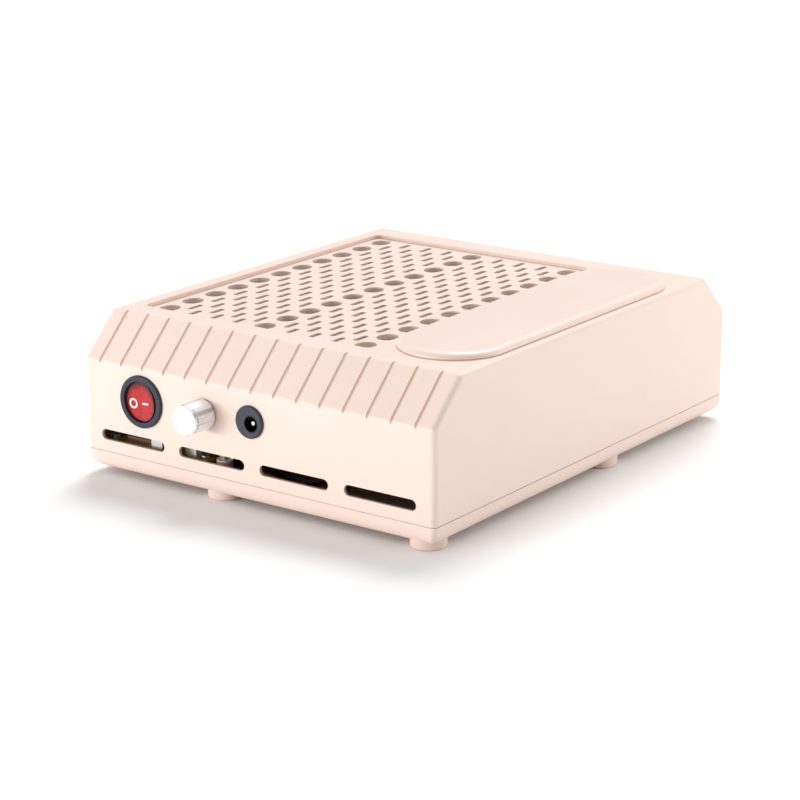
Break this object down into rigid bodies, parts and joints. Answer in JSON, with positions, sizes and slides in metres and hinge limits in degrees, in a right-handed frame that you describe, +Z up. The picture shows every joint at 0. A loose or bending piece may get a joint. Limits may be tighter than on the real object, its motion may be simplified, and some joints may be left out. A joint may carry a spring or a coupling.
{
  "type": "nail dust collector",
  "caption": "Low desk-top extractor: lift-out perforated cover over a pleated filter and fan, hand rest, rocker switch, speed knob, power inlet and outlet slots.",
  "frame": {"origin": "on the table, under the centre of the whole outline, knob included", "axes": "+Z up; +X to the right along the switch panel; +Y from the switch panel towards the back, the longest side"},
  "size_m": [0.1836, 0.244, 0.0724],
  "materials": {
    "peach_plastic": "fine matte texture",
    "rest_plastic": "smooth satin",
    "foot_plastic": "soft matte",
    "slate_plastic": "moulded semi-matte",
    "red_rocker": "translucent gloss",
    "white_mark": "printed",
    "knob_aluminium": "turned satin",
    "bright_metal": "nickel plated",
    "magnet_nickel": "nickel plated",
    "screw_steel": "zinc plated",
    "brass": "turned",
    "bearing_bronze": "sintered",
    "black_plastic": "moulded matte",
    "deck_plastic": "moulded matte",
    "motor_steel": "drawn",
    "ferrite": "sintered",
    "copper": "enamelled wire",
    "filter_paper": "pleated paper",
    "filter_card": "matte",
    "foam": "closed cell foam",
    "board_brown": "phenolic laminate",
    "connector_white": "moulded",
    "capacitor_sleeve": "shrink sleeve",
    "sink_aluminium": "extruded",
    "wire_red": "insulation",
    "wire_black": "insulation",
    "wire_yellow": "insulation",
    "wire_white": "insulation"
  },
  "bodies": {
    "case": {"base_tray": "peach_plastic", "bearing_tube": "brass", "board_capacitors": "capacitor_sleeve", "board_connectors": "connector_white", "board_inductor": "ferrite", "board_screws": "screw_steel", "board_transistor": "black_plastic", "case_screws": "screw_steel", "control_board": "board_brown", "driver_chip": "black_plastic", "fan_base": "black_plastic", "fan_base_screws": "screw_steel", "fan_deck": "deck_plastic", "fan_deck_screws": "screw_steel", "foot_back_left": "foot_plastic", "foot_back_middle": "foot_plastic", "foot_front_middle": "foot_plastic", "foot_front_right": "foot_plastic", "foot_left_side": "foot_plastic", "foot_right_side": "foot_plastic", "hand_rest": "rest_plastic", "hand_rest_screws": "screw_steel", "heat_sink": "sink_aluminium", "jack_contact": "bright_metal", "jack_housing": "slate_plastic", "jack_nut": "bright_metal", "jack_pin": "bright_metal", "ledge_magnets": "magnet_nickel", "motor_bearings": "bearing_bronze", "motor_wire_black": "wire_black", "motor_wire_red": "wire_red", "motor_wire_yellow": "wire_yellow", "speed_control_body": "black_plastic", "speed_control_bush": "bright_metal", "speed_control_lugs": "brass", "speed_control_nut": "bright_metal", "speed_control_washer": "bright_metal", "speed_wires": "wire_white", "stator_core": "motor_steel", "stator_windings": "copper", "supply_wire_black": "wire_black", "supply_wire_red": "wire_red", "switch_housing": "slate_plastic", "switch_terminals": "brass", "switch_wire_red": "wire_red", "upper_shell": "peach_plastic"},
    "grille": {"grille_cover": "peach_plastic", "cover_magnets": "magnet_nickel"},
    "filter": {"filter_frame": "filter_card", "filter_media": "filter_paper", "filter_gasket": "foam"},
    "rotor": {"impeller": "black_plastic", "rotor_cup": "motor_steel", "rotor_magnet": "ferrite", "motor_shaft": "bright_metal"},
    "rocker": {"rocker_button": "red_rocker", "rocker_marks": "white_mark"},
    "knob": {"speed_knob": "knob_aluminium", "speed_shaft": "bright_metal"}
  },
  "joints": [
    {"name": "cover_lift", "type": "slide", "parent": "case", "child": "grille", "axis": [0, 0, 1], "range_m": [0, 0.09]},
    {"name": "filter_lift", "type": "slide", "parent": "case", "child": "filter", "axis": [0, 0, 1], "range_m": [0, 0.045]},
    {"name": "fan_spin", "type": "hinge", "parent": "case", "child": "rotor", "pos_m": [-0.02235, 0.0055, 0.02], "axis": [0, 0, 1], "continuous": true},
    {"name": "rocker_tilt", "type": "hinge", "parent": "case", "child": "rocker", "pos_m": [-0.0597, -0.107, 0.0369], "axis": [0, 0, 1], "range_deg": [0, 10]},
    {"name": "speed_turn", "type": "hinge", "parent": "case", "child": "knob", "pos_m": [-0.0253, -0.114, 0.0377], "axis": [0, 1, 0], "range_deg": [0, 280]}
  ],
  "couplings": [
    {"joint": "filter_lift", "follows": "cover_lift", "ratio": 0.5}
  ]
}
